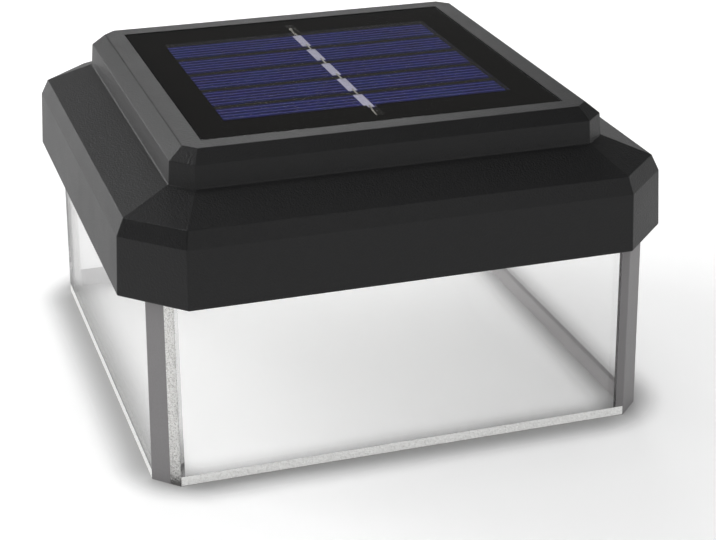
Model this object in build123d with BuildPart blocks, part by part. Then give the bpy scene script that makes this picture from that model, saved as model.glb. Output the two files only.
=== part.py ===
from build123d import *
import os
from math import atan2, degrees, sqrt

# Solar light for the top of a fence post, in millimetres.
# The origin is the middle of the skirt's open bottom, +Z is up and -Y is the front.
os.makedirs("parts", exist_ok=True)

# ---- driving dimensions ----

# Clear skirt. It stands in from the cap's rim, and is a little narrower at the top than at the bottom.
skirt_step = 4.6
skirt_cut = 5.0
skirt_wall = 3.5
skirt_shown = 41.6
skirt_lean = 0.8
lug_size = 11.0
lug_thickness = 3.0
lug_corner = 3.0

# Cap. Each band of its outside rises and steps in by these amounts, from the rim up.
rim_half = 60.0
rim_cut = 12.0
rim_rise, rim_inset = 12.8, 0.7
bevel_rise, bevel_inset = 3.5, 1.6
roof_rise, roof_inset = 4.3, 10.3
crown_rise, crown_inset = 4.9, 0.4
frame_rise, frame_inset = 2.5, 3.0
cap_edge_round = 0.45
cap_wall = 2.4
cap_corner_wall = 1.5
roof_wall = 1.6

# Solar panel, let into the top of the cap.
frame_width = 4.35
recess_depth = 2.6
recess_floor = 2.0
panel_gap = 0.15
tape_thickness = 0.3
tape_width = 5.0
tape_inset = 1.5
board_thickness = 1.0
resin_thickness = 1.2
cell_count = 5
cell_end_margin = 7.6
cell_side_margin = 10.95
cell_gap = 2.4
cell_thickness = 0.25
tab_margin = 0.35
tab_width = 2.0
tab_thickness = 0.1
link_radius = 0.18
link_lap = 0.5
tail_margin = 4.9
tail_straight = 0.7
tail_fall = 0.7
tail_shift = 0.36
tail_bend = 0.36
solder_radius = 0.45
resin_clearance = 0.25
lead_hole_length = 14.0
lead_hole_width = 5.0
lead_hole_margin = 11.5

# Tray that closes the cap from below.
tray_rise = 1.6
tray_thickness = 2.2
tray_clearance = 0.45
tray_screw_inset = 6.15
tray_screw_sink = 0.8

# Seal between tray and cap.
seal_margin = 5.1
seal_lug_gap = 2.35
seal_wall = 1.6
seal_thickness = 1.0
seal_overhang = 0.4

# Screws: head radius, head height, shank radius, shank length.
tray_screw = (2.9, 1.6, 1.5, 12.0)
door_screw = (2.3, 1.2, 1.2, 6.5)
board_screw = (2.0, 1.3, 1.0, 5.0)
screw_clearance = 0.3
head_clearance = 0.4
pilot_clearance = 0.1
boss_wall = 1.7

# Shape of every screw, as shares of its head height, head radius and shank radius.
head_bevel = 0.4
tip_bevel = 0.4
drive_length, drive_width, drive_depth = 1.1, 0.24, 0.5

# Ribs in the cap that locate the skirt.
rib_thickness = 1.4
rib_spread = 26.0
rib_lift = 3.0
skirt_clearance = 0.3

# Battery cell and its bay.
cell_radius = 7.25
cell_body_length = 49.5
cell_round = 0.6
cell_lip = 1.05
button_radius = 2.75
button_length = 1.0
button_recess = 0.35
spring_length = 5.0
spring_wire = 0.35
wire_sides = 6
spring_turns = 4
spring_base_radius = 4.6
spring_tip_radius = 2.6
contact_thickness = 0.4
contact_width = 11.0
contact_tab_width = 3.0
contact_tab_lift = 1.0
bay_y = -24.0
bay_clearance = 0.7
bay_wall = 1.6
bay_round = 1.3
bay_head_room = 0.4

# Battery door with its seal and screws.
door_thickness = 2.0
door_end = 7.85
door_rim = 2.4
door_clearance = 0.3
door_seal_width = 1.2
door_seal_thickness = 0.5
door_screw_inset = 3.4
door_rib_width = 1.2
door_rib_spread = 30.0
door_rib_lift = 0.8
cell_lift = 0.3
door_corner = 2.0
finger_notch_radius = 5.0
finger_notch_depth = 0.9

# Controller board and what is on it.
controller_length = 52.0
controller_width = 20.0
controller_thickness = 1.6
controller_margin = 16.6
controller_lift = 5.2
controller_screw_x = 22.0
standoff_radius = 2.8
chip_size = (4.9, 3.9, 1.5)
chip_shift = (2.0, 3.0)
leg_count = 4
leg_pitch = 1.27
leg_width = 0.42
leg_reach = 1.0
leg_thickness = 0.25
leg_foot = 0.5
choke_shift = (13.0, 2.5)
choke_radius = 3.6
choke_waist = 2.6
choke_flange = 1.0
choke_height = 5.0
capacitor_shift = (-12.0, 3.0)
capacitor_radius = 2.5
capacitor_height = 7.0
capacitor_groove = 0.3
capacitor_groove_lift = 0.9

# Slide switch under the controller board.
switch_shift = (-12.0, -5.0)
switch_body_size = (8.6, 4.4, 4.6)
switch_travel = 2.0
slider_foot_size = (3.4, 2.2, 1.4)
slider_clearance = 0.2
knob_length = 2.8
knob_width = 2.4
knob_rise = 0.5
knob_groove = 0.3
knob_groove_pitch = 0.7
slot_margin = 0.5
slot_dish = 1.0
slot_dish_margin = 2.2

# Lamp: board, four lamps and the frosted window in the tray.
window_radius = 9.0
window_clearance = 0.2
window_flange = 1.4
window_flange_thickness = 0.8
window_inset = 0.3
window_dish = 0.8
lamp_board_length = 32.0
lamp_board_width = 16.0
lamp_board_thickness = 1.2
lamp_board_lift = 3.4
lamp_screw_x = 13.4
lamp_size = (3.5, 2.8, 1.0)
lamp_spread = (10.0, 7.0)
lamp_lens_radius = 1.1

# Leads inside the cap.
lead_radius = 0.5
lead_sides = 8
lead_bend = 1.6
lead_spread = 4.0
lead_landing = 1.0
battery_lead_inset = 4.0
panel_lead_drop = 3.2
panel_lead_foot = 4.8
lamp_lead_arch = 4.0
lamp_lead_landing = 1.5

# ---- levels and sizes worked out from the driving dimensions ----

rim_bottom = skirt_shown
tray_bottom = rim_bottom + tray_rise
tray_top = tray_bottom + tray_thickness
skirt_top = tray_top + lug_thickness
cap_bands = [
    (rim_rise, rim_inset),
    (bevel_rise, bevel_inset),
    (roof_rise, roof_inset),
    (crown_rise, crown_inset),
    (frame_rise, frame_inset),
]
cap_top = rim_bottom + sum(rise for rise, inset in cap_bands)
skirt_half = rim_half - skirt_step
recess_half = rim_half - sum(inset for rise, inset in cap_bands) - frame_width
recess_level = cap_top - recess_depth
ceiling = recess_level - recess_floor
board_top = recess_level + tape_thickness + board_thickness
seal_top = tray_top + seal_thickness
boss_bottom = skirt_top
controller_bottom = tray_top + controller_lift
controller_top = controller_bottom + controller_thickness
lamp_board_bottom = tray_top + lamp_board_lift
lamp_board_top = lamp_board_bottom + lamp_board_thickness


def inner_cut(cut, inset):
    # Corner cut of an eight-sided outline whose eight sides all lie this much further in.
    return cut - inset * (2 - sqrt(2))


def slope(rise, inset):
    # Lean of a wall from upright, in degrees.
    return degrees(atan2(inset, rise))


def eight_sided(half, cut, mode=Mode.ADD):
    # A square with its corners cut off at 45 degrees, added to the sketch in hand.
    with BuildSketch(mode=Mode.PRIVATE) as outline:
        Rectangle(2 * half, 2 * half)
        chamfer(outline.vertices(), cut)
    add(outline.sketch, mode=mode)


def banded_block(bottom, half, cut, bands):
    # A block of eight-sided bands, each rising and stepping in by its own amounts.
    with BuildPart() as block:
        with BuildSketch(Plane.XY.offset(bottom)):
            eight_sided(half, cut)
        for number, (rise, inset) in enumerate(bands):
            top_face = None if number == 0 else block.faces().sort_by(Axis.Z)[-1]
            extrude(top_face, amount=rise, taper=slope(rise, inset))
    return block.part


def pan_screws(places, seat, sizes, head_down):
    # Pan-head screws whose heads rest on the level called seat, as separate solids.
    head_radius, head_height, shank_radius, shank_length = sizes
    way = -1 if head_down else 1
    with BuildPart() as screws:
        with BuildSketch(Plane.XY.offset(seat)):
            with Locations(*places):
                Circle(head_radius)
        extrude(amount=way * head_height)
        heads = screws.faces().group_by(Axis.Z)[0 if head_down else -1]
        chamfer(heads.edges(), head_height * head_bevel)
        with BuildSketch(Plane.XY.offset(seat)):
            with Locations(*places):
                Circle(shank_radius)
        extrude(amount=-way * shank_length)
        tips = screws.faces().group_by(Axis.Z)[-1 if head_down else 0]
        chamfer(tips.edges(), shank_radius * tip_bevel)
        with BuildSketch(Plane.XY.offset(seat + way * head_height)):
            with Locations(*places):
                Rectangle(head_radius * drive_length, head_radius * drive_width)
                Rectangle(head_radius * drive_width, head_radius * drive_length)
        extrude(amount=-way * head_height * drive_depth, mode=Mode.SUBTRACT)
    return screws.part


def lead(points):
    # A round lead along straight runs joined by tangent bends.
    with BuildPart() as wire:
        with BuildLine() as route:
            FilletPolyline(*points, radius=lead_bend)
        with BuildSketch(Plane(route.line @ 0, z_dir=route.line % 0)):
            RegularPolygon(lead_radius, lead_sides)
        sweep()
    return wire.part


def write(part, name):
    part.label = name
    export_step(part, f"parts/{name}.step")


# ---- clear skirt ----

skirt_inner_half = skirt_half - skirt_wall
skirt_inner_cut = inner_cut(skirt_cut, skirt_wall)
lug_drop = skirt_lean * tray_top / skirt_top
lug_inner_half = skirt_inner_half - lug_drop
tray_screw_reach = lug_inner_half - tray_screw_inset
tray_half = lug_inner_half - tray_clearance
tray_cut = inner_cut(skirt_inner_cut, lug_drop + tray_clearance)
seal_half = tray_half - seal_margin
# The seal's cut corners pass inside the rounded corners of the lugs.
lug_diagonal = 2 * (lug_inner_half - lug_size) + lug_corner * (2 - sqrt(2))
seal_cut = 2 * seal_half - lug_diagonal + (seal_overhang + seal_lug_gap) * sqrt(2)

with BuildPart() as clear_skirt:
    with BuildSketch():
        eight_sided(skirt_half, skirt_cut)
    extrude(amount=skirt_top, taper=slope(skirt_top, skirt_lean))
    # The open inside, up to the underside of the four corner lugs.
    with BuildSketch():
        eight_sided(skirt_inner_half, skirt_inner_cut)
    extrude(amount=tray_top, taper=slope(skirt_top, skirt_lean), mode=Mode.SUBTRACT)
    # Above that level the opening leaves a lug in each corner.
    with BuildSketch(Plane.XY.offset(tray_top)):
        eight_sided(lug_inner_half, inner_cut(skirt_inner_cut, lug_drop))
        with BuildSketch(mode=Mode.PRIVATE) as lug:
            with Locations((lug_inner_half, lug_inner_half)):
                Rectangle(2 * lug_size, 2 * lug_size)
            fillet(lug.vertices().sort_by(Axis.X)[:2].sort_by(Axis.Y)[:1], lug_corner)
        for turn in range(4):
            add(lug.sketch, rotation=90 * turn, mode=Mode.SUBTRACT)
    extrude(amount=lug_thickness, taper=slope(skirt_top, skirt_lean), mode=Mode.SUBTRACT)
    with BuildSketch(Plane.XY.offset(tray_top)):
        with GridLocations(2 * tray_screw_reach, 2 * tray_screw_reach, 2, 2):
            Circle(tray_screw[2] + screw_clearance)
    extrude(amount=lug_thickness, mode=Mode.SUBTRACT)
write(clear_skirt.part, "clear_skirt")

# ---- cap housing ----

cavity_bands = [
    (rim_rise - roof_wall, rim_inset),
    (bevel_rise, bevel_inset),
    (roof_rise, roof_inset),
]
cavity_used = sum(rise for rise, inset in cavity_bands)
cavity_bands.append((ceiling - rim_bottom - cavity_used, crown_inset))
panel_half = recess_half - panel_gap
lead_hole_y = panel_half - lead_hole_margin
cap_outside = banded_block(rim_bottom, rim_half, rim_cut, cap_bands)
cavity_cut = rim_cut - 2 * cap_wall + cap_corner_wall * sqrt(2)
cap_cavity = banded_block(rim_bottom, rim_half - cap_wall, cavity_cut, cavity_bands)

# Ribs run from the skirt's outer face to the middle of the cap's wall, and over its top edge.
rib_skin = rim_half - rim_inset - cap_wall / 2
rib_foot = rim_bottom + rib_lift
rib_face = skirt_half - skirt_lean * rib_foot / skirt_top + skirt_clearance
rib_reach = skirt_half - skirt_lean - skirt_wall
bevel_bottom = rim_bottom + rim_rise
roof_bottom = bevel_bottom + bevel_rise
rib_shoulder = rim_half - rim_inset - bevel_inset
roof_fall = roof_rise / roof_inset
boss_radius = tray_screw[2] + boss_wall

with BuildPart() as cap_housing:
    add(cap_outside)
    outer_edges = cap_housing.edges().filter_by(GeomType.LINE)
    fillet(outer_edges, cap_edge_round)
    add(cap_cavity, mode=Mode.SUBTRACT)
    # Square recess for the panel, with a slot in its floor for the leads.
    with BuildSketch(Plane.XY.offset(recess_level)):
        Rectangle(2 * recess_half, 2 * recess_half)
    extrude(amount=recess_depth, mode=Mode.SUBTRACT)
    with BuildSketch(Plane.XY.offset(ceiling)):
        with Locations((0, lead_hole_y)):
            SlotOverall(lead_hole_length, lead_hole_width)
    extrude(amount=recess_floor, mode=Mode.SUBTRACT)
    # Wall that presses on the tray's seal.
    with BuildSketch(Plane.XY.offset(seal_top)):
        eight_sided(seal_half, seal_cut)
        eight_sided(seal_half - seal_wall, inner_cut(seal_cut, seal_wall), mode=Mode.SUBTRACT)
    extrude(amount=ceiling - roof_rise - seal_top + roof_wall)
    # Screw bosses over the skirt's lugs.
    with BuildSketch(Plane.XY.offset(boss_bottom)):
        with GridLocations(2 * tray_screw_reach, 2 * tray_screw_reach, 2, 2):
            Circle(boss_radius)
    extrude(amount=roof_bottom + roof_wall - boss_bottom)
    with BuildSketch(Plane.XY.offset(boss_bottom)):
        with GridLocations(2 * tray_screw_reach, 2 * tray_screw_reach, 2, 2):
            Circle(tray_screw[2] + pilot_clearance)
    extrude(amount=tray_screw[3] - lug_thickness, mode=Mode.SUBTRACT)
    # Ribs that hold the skirt from outside and stop its top edge, two on each side.
    for turn in range(4):
        side = Plane.XZ.rotated((0, 0, 90 * turn))
        for shift in (-rib_spread, rib_spread):
            with BuildSketch(side.offset(shift - rib_thickness / 2)):
                with BuildLine():
                    Polyline(
                        (rib_face, rib_foot),
                        (rib_skin, rib_foot),
                        (rib_skin, bevel_bottom),
                        (rib_shoulder, roof_bottom - roof_wall / 2),
                        (rib_reach, roof_bottom + (rib_shoulder - rib_reach) * roof_fall - roof_wall / 2),
                        (rib_reach, skirt_top),
                        (rib_face, skirt_top),
                        close=True,
                    )
                make_face()
            extrude(amount=rib_thickness)
write(cap_housing.part, "cap_housing")

# ---- tray that closes the cap from below ----

# Battery bay: a closed trough above the tray, open below, with a rebate for its door.
cell_bottom = tray_top + door_rib_lift + cell_lift
cell_axis = cell_bottom + cell_radius
bay_half_width = cell_radius + bay_clearance
bay_half_length = (cell_body_length + button_length + spring_length) / 2 + contact_thickness
bay_ceiling = cell_axis + cell_radius + bay_head_room
door_half_length = bay_half_length + door_end
door_screw_x = door_half_length - door_screw_inset
controller_y = seal_half - controller_margin
bay_top = bay_ceiling + bay_wall
rebate_half_length = door_half_length + door_clearance
rebate_half_width = bay_half_width + door_rim + door_clearance
rebate_level = tray_bottom + door_thickness
collar_top = rebate_level + tray_thickness
collar_half_length = rebate_half_length + bay_wall
collar_half_width = rebate_half_width + bay_wall
bay_center = (0, bay_y)
contact_x = bay_half_length - contact_thickness / 2
door_screw_places = [(-door_screw_x, bay_y), (door_screw_x, bay_y)]
door_pilot_depth = door_screw[3] - (door_thickness - door_screw[1]) + pilot_clearance
door_boss_radius = door_screw[2] + boss_wall
controller_screw_places = [(-controller_screw_x, controller_y), (controller_screw_x, controller_y)]
lamp_screw_places = [(-lamp_screw_x, 0), (lamp_screw_x, 0)]
slot_half_length = (knob_length + switch_travel) / 2 + slot_margin
slot_half_width = knob_width / 2 + slot_margin
dish_half_length = slot_half_length + slot_dish_margin
dish_half_width = slot_half_width + slot_dish_margin
switch_place = (switch_shift[0], controller_y + switch_shift[1])
switch_mid = (switch_place[0] + switch_travel / 2, switch_place[1])
window_collar = window_radius + window_flange + bay_wall

with BuildPart() as tray:
    with BuildSketch(Plane.XY.offset(tray_bottom)):
        eight_sided(tray_half, tray_cut)
    extrude(amount=tray_thickness)
    # Thick collar round the battery door, then the trough itself.
    with BuildSketch(Plane.XY.offset(tray_bottom)):
        with Locations(bay_center):
            RectangleRounded(2 * collar_half_length, 2 * collar_half_width, door_corner + bay_wall)
    extrude(amount=collar_top - tray_bottom)
    with BuildSketch(Plane.XY.offset(tray_top)):
        with Locations(bay_center):
            Rectangle(2 * (bay_half_length + bay_wall), 2 * (bay_half_width + bay_wall))
    extrude(amount=bay_top - tray_top)
    trough_edges = tray.faces().sort_by(Axis.Z)[-1].edges()
    fillet(trough_edges, bay_round)
    # Bosses for the door's screws, standoffs for both boards.
    with BuildSketch(Plane.XY.offset(tray_top)):
        with Locations(*door_screw_places):
            Circle(door_boss_radius)
    extrude(amount=rebate_level + door_pilot_depth + bay_wall - tray_top)
    with BuildSketch(Plane.XY.offset(tray_top)):
        with Locations(*controller_screw_places):
            Circle(standoff_radius)
    extrude(amount=controller_lift)
    with BuildSketch(Plane.XY.offset(tray_top)):
        with Locations(*lamp_screw_places):
            Circle(standoff_radius)
    extrude(amount=lamp_board_lift)
    # Collar round the lamp window, and ribs that stiffen the plate.
    with BuildSketch(Plane.XY.offset(tray_top)):
        Circle(window_collar)
        Circle(window_collar - bay_wall, mode=Mode.SUBTRACT)
    extrude(amount=window_flange_thickness)
    with BuildSketch(Plane.XY.offset(tray_top)):
        rib_end = seal_half - seal_wall - seal_overhang - tray_clearance
        for side in (-1, 1):
            with Locations((side * (window_collar + rib_end) / 2, 0)):
                Rectangle(rib_end - window_collar, rib_thickness)
            with Locations((side * controller_screw_x, controller_y / 2)):
                Rectangle(rib_thickness, controller_y)
    extrude(amount=seal_thickness)
    # Trough, door rebate and screw holes.
    with BuildSketch(Plane.XY.offset(tray_bottom)):
        with Locations(bay_center):
            RectangleRounded(2 * rebate_half_length, 2 * rebate_half_width, door_corner)
    extrude(amount=door_thickness, mode=Mode.SUBTRACT)
    with BuildSketch(Plane.XY.offset(rebate_level)):
        with Locations(bay_center):
            Rectangle(2 * bay_half_length, 2 * bay_half_width)
    extrude(amount=bay_ceiling - rebate_level, mode=Mode.SUBTRACT)
    with BuildSketch(Plane.XY.offset(rebate_level)):
        with Locations(*door_screw_places):
            Circle(door_screw[2] + screw_clearance)
    extrude(amount=door_pilot_depth, mode=Mode.SUBTRACT)
    # Slits in the trough's top for the contact tabs.
    with BuildSketch(Plane.XY.offset(bay_ceiling)):
        with Locations((-contact_x, bay_y), (contact_x, bay_y)):
            Rectangle(contact_thickness + pilot_clearance, contact_tab_width + 2 * pilot_clearance)
    extrude(amount=bay_wall, mode=Mode.SUBTRACT)
    # Pilot holes for the board screws.
    with BuildSketch(Plane.XY.offset(tray_top + bay_wall)):
        with Locations(*controller_screw_places):
            Circle(board_screw[2] + pilot_clearance)
    extrude(amount=controller_lift - bay_wall, mode=Mode.SUBTRACT)
    with BuildSketch(Plane.XY.offset(tray_bottom + bay_wall)):
        with Locations(*lamp_screw_places):
            Circle(board_screw[2] + pilot_clearance)
    extrude(amount=lamp_board_bottom - tray_bottom - bay_wall, mode=Mode.SUBTRACT)
    # Lamp window, switch slot with a dished mouth, and the four corner screws.
    with BuildSketch(Plane.XY.offset(tray_bottom)):
        Circle(window_radius)
    extrude(amount=tray_thickness, mode=Mode.SUBTRACT)
    with BuildSketch(Plane.XY.offset(tray_bottom)):
        with Locations(switch_mid):
            Rectangle(2 * slot_half_length, 2 * slot_half_width)
    extrude(amount=tray_thickness, mode=Mode.SUBTRACT)
    with BuildSketch(Plane.XY.offset(tray_bottom)):
        with Locations(switch_mid):
            Rectangle(2 * dish_half_length, 2 * dish_half_width)
    extrude(amount=slot_dish, taper=slope(slot_dish, slot_dish_margin), mode=Mode.SUBTRACT)
    with BuildSketch(Plane.XY.offset(tray_bottom)):
        with GridLocations(2 * tray_screw_reach, 2 * tray_screw_reach, 2, 2):
            Circle(tray_screw[0] + head_clearance)
    extrude(amount=tray_screw_sink, mode=Mode.SUBTRACT)
    with BuildSketch(Plane.XY.offset(tray_bottom)):
        with GridLocations(2 * tray_screw_reach, 2 * tray_screw_reach, 2, 2):
            Circle(tray_screw[2] + screw_clearance)
    extrude(amount=tray_thickness, mode=Mode.SUBTRACT)
write(tray.part, "tray")

with BuildPart() as tray_gasket:
    with BuildSketch(Plane.XY.offset(tray_top)):
        eight_sided(seal_half + seal_overhang, inner_cut(seal_cut, -seal_overhang))
        inset = seal_wall + seal_overhang
        eight_sided(seal_half - inset, inner_cut(seal_cut, inset), mode=Mode.SUBTRACT)
    extrude(amount=seal_thickness)
write(tray_gasket.part, "tray_gasket")

tray_screw_places = [(x * tray_screw_reach, y * tray_screw_reach) for x in (-1, 1) for y in (-1, 1)]
write(pan_screws(tray_screw_places, tray_bottom + tray_screw_sink, tray_screw, True), "tray_screws")

# ---- solar panel ----

cell_length = 2 * (panel_half - cell_end_margin)
field_half_width = panel_half - cell_side_margin
cell_width = (2 * field_half_width - (cell_count - 1) * cell_gap) / cell_count
cell_pitch = cell_width + cell_gap
tab_length = cell_width - 2 * tab_margin
link_level = board_top + cell_thickness + tab_thickness + link_radius
pocket_top = link_level + link_radius + resin_clearance

with BuildPart() as panel_adhesive:
    tape_half = panel_half - tape_inset
    with BuildSketch(Plane.XY.offset(recess_level)):
        Rectangle(2 * tape_half, 2 * tape_half)
        Rectangle(2 * (tape_half - tape_width), 2 * (tape_half - tape_width), mode=Mode.SUBTRACT)
    extrude(amount=tape_thickness)
write(panel_adhesive.part, "panel_adhesive")

with BuildPart() as panel_board:
    with BuildSketch(Plane.XY.offset(recess_level + tape_thickness)):
        Rectangle(2 * panel_half, 2 * panel_half)
    extrude(amount=board_thickness)
write(panel_board.part, "panel_board")

with BuildPart() as solar_cells:
    with BuildSketch(Plane.XY.offset(board_top)):
        with GridLocations(0, cell_pitch, 1, cell_count):
            Rectangle(cell_length, cell_width)
    extrude(amount=cell_thickness)
write(solar_cells.part, "solar_cells")

with BuildPart() as cell_tabs:
    with BuildSketch(Plane.XY.offset(board_top + cell_thickness)):
        with GridLocations(0, cell_pitch, 1, cell_count):
            Rectangle(tab_width, tab_length)
    extrude(amount=tab_thickness)
write(cell_tabs.part, "cell_tabs")

# Wires that bridge the tabs, and a tail at each end that drops to the board in a blob of solder.
bridge = cell_pitch - tab_length + 2 * link_lap
tab_end = (cell_count - 1) / 2 * cell_pitch + tab_length / 2
tail_start = tab_end - link_lap
tail_end = panel_half - tail_margin
tail_level = board_top + link_radius
with BuildPart() as tail:
    with BuildLine() as tail_route:
        FilletPolyline(
            (0, tail_start, link_level),
            (0, tab_end + tail_straight, link_level),
            (0, tab_end + tail_straight + tail_fall, tail_level),
            (tail_shift, tail_end, tail_level),
            radius=tail_bend,
        )
    with BuildSketch(Plane(tail_route.line @ 0, z_dir=tail_route.line % 0)):
        RegularPolygon(link_radius, wire_sides)
    sweep()
    with Locations((tail_shift, tail_end, board_top)):
        Sphere(solder_radius, arc_size1=0, align=(Align.CENTER, Align.CENTER, Align.MIN))
with BuildPart() as link_wires:
    for gap in range(cell_count - 1):
        middle = (gap - (cell_count - 2) / 2) * cell_pitch
        with BuildSketch(Plane.XZ.offset(-(middle - bridge / 2))):
            with Locations((0, link_level)):
                RegularPolygon(link_radius, wire_sides)
        extrude(amount=-bridge)
    add(tail.part)
    add(tail.part, rotation=(0, 0, 180))
write(link_wires.part, "link_wires")

# Clear resin poured over the board, hollow only where the cells and wires lie.
with BuildPart() as panel_cover:
    with BuildSketch(Plane.XY.offset(board_top)):
        Rectangle(2 * panel_half, 2 * panel_half)
    extrude(amount=resin_thickness)
    fillet(panel_cover.faces().sort_by(Axis.Z)[-1].edges(), resin_clearance)
    with BuildSketch(Plane.XY.offset(board_top)):
        Rectangle(cell_length + 2 * resin_clearance, 2 * (field_half_width + resin_clearance))
        Rectangle(tab_width, 2 * (tail_end + 2 * solder_radius))
    extrude(amount=pocket_top - board_top, mode=Mode.SUBTRACT)
write(panel_cover.part, "panel_cover")

# ---- battery, contacts and door ----

cell_start = -bay_half_length + contact_thickness + spring_length
cell_shoulder = cell_start + cell_body_length - button_recess
with BuildPart() as battery_cell:
    with BuildSketch(Plane.XZ.offset(-bay_y)):
        with BuildLine():
            Polyline(
                (cell_start, cell_axis),
                (cell_start, cell_axis + cell_radius - button_recess),
                (cell_start + button_recess, cell_axis + cell_radius),
                (cell_start + cell_body_length - cell_round, cell_axis + cell_radius),
                (cell_start + cell_body_length, cell_axis + cell_radius - cell_round),
                (cell_start + cell_body_length, cell_axis + cell_radius - cell_lip),
                (cell_shoulder, cell_axis + cell_radius - cell_lip - button_recess),
                (cell_shoulder, cell_axis + button_radius),
                (cell_start + cell_body_length + button_length, cell_axis + button_radius),
                (cell_start + cell_body_length + button_length, cell_axis),
                close=True,
            )
        make_face()
    revolve(axis=Axis((0, bay_y, cell_axis), (1, 0, 0)))
write(battery_cell.part, "battery_cell")


def contact_plate(x):
    # Sheet-metal contact: a plate in the end of the bay, with a tab up through the trough's top.
    with BuildPart() as plate:
        with BuildSketch(Plane.YZ.offset(x - contact_thickness / 2)):
            with Locations((bay_y, (cell_bottom + bay_ceiling) / 2)):
                Rectangle(contact_width, bay_ceiling - cell_bottom)
            with Locations((bay_y, (bay_ceiling + bay_top + contact_tab_lift) / 2)):
                Rectangle(contact_tab_width, bay_wall + contact_tab_lift)
        extrude(amount=contact_thickness)
    return plate.part


write(contact_plate(contact_x), "button_contact")

with BuildPart() as spring_contact:
    add(contact_plate(-contact_x))
    coil_start = -bay_half_length + contact_thickness + spring_wire / 2
    with BuildLine() as coil:
        Helix(
            pitch=(spring_length - 2 * spring_wire) / spring_turns,
            height=spring_length - 2 * spring_wire,
            radius=spring_base_radius,
            center=(coil_start, bay_y, cell_axis),
            direction=(1, 0, 0),
            cone_angle=-slope(spring_length, spring_base_radius - spring_tip_radius),
        )
    with BuildSketch(Plane(coil.line @ 0, z_dir=coil.line % 0)):
        RegularPolygon(spring_wire, wire_sides)
    sweep(is_frenet=True)
write(spring_contact.part, "spring_contact")

door_half_width = rebate_half_width - door_clearance
with BuildPart() as battery_door:
    with BuildSketch(Plane.XY.offset(tray_bottom)):
        with Locations(bay_center):
            RectangleRounded(2 * door_half_length, 2 * door_half_width, door_corner - door_clearance)
    extrude(amount=door_thickness)
    # Two cross ribs that carry the cell.
    with BuildSketch(Plane.XY.offset(rebate_level)):
        with Locations(bay_center):
            with GridLocations(door_rib_spread, 0, 2, 1):
                Rectangle(door_rib_width, 2 * (bay_half_width - bay_clearance))
    extrude(amount=cell_bottom - cell_lift - rebate_level)
    # Groove for the seal round the opening.
    with BuildSketch(Plane.XY.offset(rebate_level)):
        with Locations(bay_center):
            seal_x = bay_half_length + door_clearance
            seal_y = bay_half_width + door_clearance
            Rectangle(2 * (seal_x + door_seal_width), 2 * (seal_y + door_seal_width))
            Rectangle(2 * seal_x, 2 * seal_y, mode=Mode.SUBTRACT)
    extrude(amount=-door_seal_thickness, mode=Mode.SUBTRACT)
    with BuildSketch(Plane.XY.offset(tray_bottom)):
        with Locations(*door_screw_places):
            Circle(door_screw[0] + pilot_clearance)
    extrude(amount=door_screw[1], mode=Mode.SUBTRACT)
    with BuildSketch(Plane.XY.offset(tray_bottom)):
        with Locations(*door_screw_places):
            Circle(door_screw[2] + pilot_clearance)
    extrude(amount=door_thickness, mode=Mode.SUBTRACT)
    # Finger notch in the middle of the door's rear edge.
    with Locations((0, bay_y + door_half_width, tray_bottom)):
        Cylinder(finger_notch_radius, 2 * finger_notch_depth, mode=Mode.SUBTRACT)
write(battery_door.part, "battery_door")

with BuildPart() as door_gasket:
    with BuildSketch(Plane.XY.offset(rebate_level)):
        with Locations(bay_center):
            Rectangle(2 * (seal_x + door_seal_width), 2 * (seal_y + door_seal_width))
            Rectangle(2 * seal_x, 2 * seal_y, mode=Mode.SUBTRACT)
    extrude(amount=-door_seal_thickness)
write(door_gasket.part, "door_gasket")
write(pan_screws(door_screw_places, tray_bottom + door_screw[1], door_screw, True), "door_screws")

# ---- controller board ----

chip_place = (chip_shift[0], controller_y + chip_shift[1])
choke_place = (choke_shift[0], controller_y + choke_shift[1])
capacitor_place = (capacitor_shift[0], controller_y + capacitor_shift[1])

with BuildPart() as controller_board:
    with BuildSketch(Plane.XY.offset(controller_bottom)):
        with Locations((0, controller_y)):
            Rectangle(controller_length, controller_width)
        with Locations(*controller_screw_places):
            Circle(board_screw[2] + screw_clearance, mode=Mode.SUBTRACT)
    extrude(amount=controller_thickness)
write(controller_board.part, "controller_board")
write(pan_screws(controller_screw_places, controller_top, board_screw, False), "board_screws")

with BuildPart() as controller_chip:
    chip_length, chip_width, chip_height = chip_size
    with BuildSketch(Plane.XY.offset(controller_top + leg_thickness)):
        with Locations(chip_place):
            Rectangle(chip_length, chip_width)
    extrude(amount=chip_height)
    chamfer(controller_chip.faces().sort_by(Axis.Z)[-1].edges(), leg_thickness)
    # Gull-wing legs along both long sides.
    for side in (-1, 1):
        with BuildSketch(Plane.XY.offset(controller_top)):
            foot_middle = chip_width / 2 + leg_reach - leg_foot / 2
            with Locations((chip_place[0], chip_place[1] + side * foot_middle)):
                with GridLocations(leg_pitch, 0, leg_count, 1):
                    Rectangle(leg_width, leg_foot)
        extrude(amount=chip_height / 2)
        with BuildSketch(Plane.XY.offset(controller_top + chip_height / 2)):
            with Locations((chip_place[0], chip_place[1] + side * (chip_width + leg_reach) / 2)):
                with GridLocations(leg_pitch, 0, leg_count, 1):
                    Rectangle(leg_width, leg_reach)
        extrude(amount=leg_thickness)
write(controller_chip.part, "controller_chip")

with BuildPart() as choke_coil:
    with BuildSketch(Plane.XZ.offset(-choke_place[1])):
        with BuildLine():
            Polyline(
                (choke_place[0], controller_top),
                (choke_place[0] + choke_radius, controller_top),
                (choke_place[0] + choke_radius, controller_top + choke_flange),
                (choke_place[0] + choke_waist, controller_top + choke_flange),
                (choke_place[0] + choke_waist, controller_top + choke_height - choke_flange),
                (choke_place[0] + choke_radius, controller_top + choke_height - choke_flange),
                (choke_place[0] + choke_radius, controller_top + choke_height),
                (choke_place[0], controller_top + choke_height),
                close=True,
            )
        make_face()
    revolve(axis=Axis((choke_place[0], choke_place[1], 0), (0, 0, 1)))
write(choke_coil.part, "choke_coil")

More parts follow.
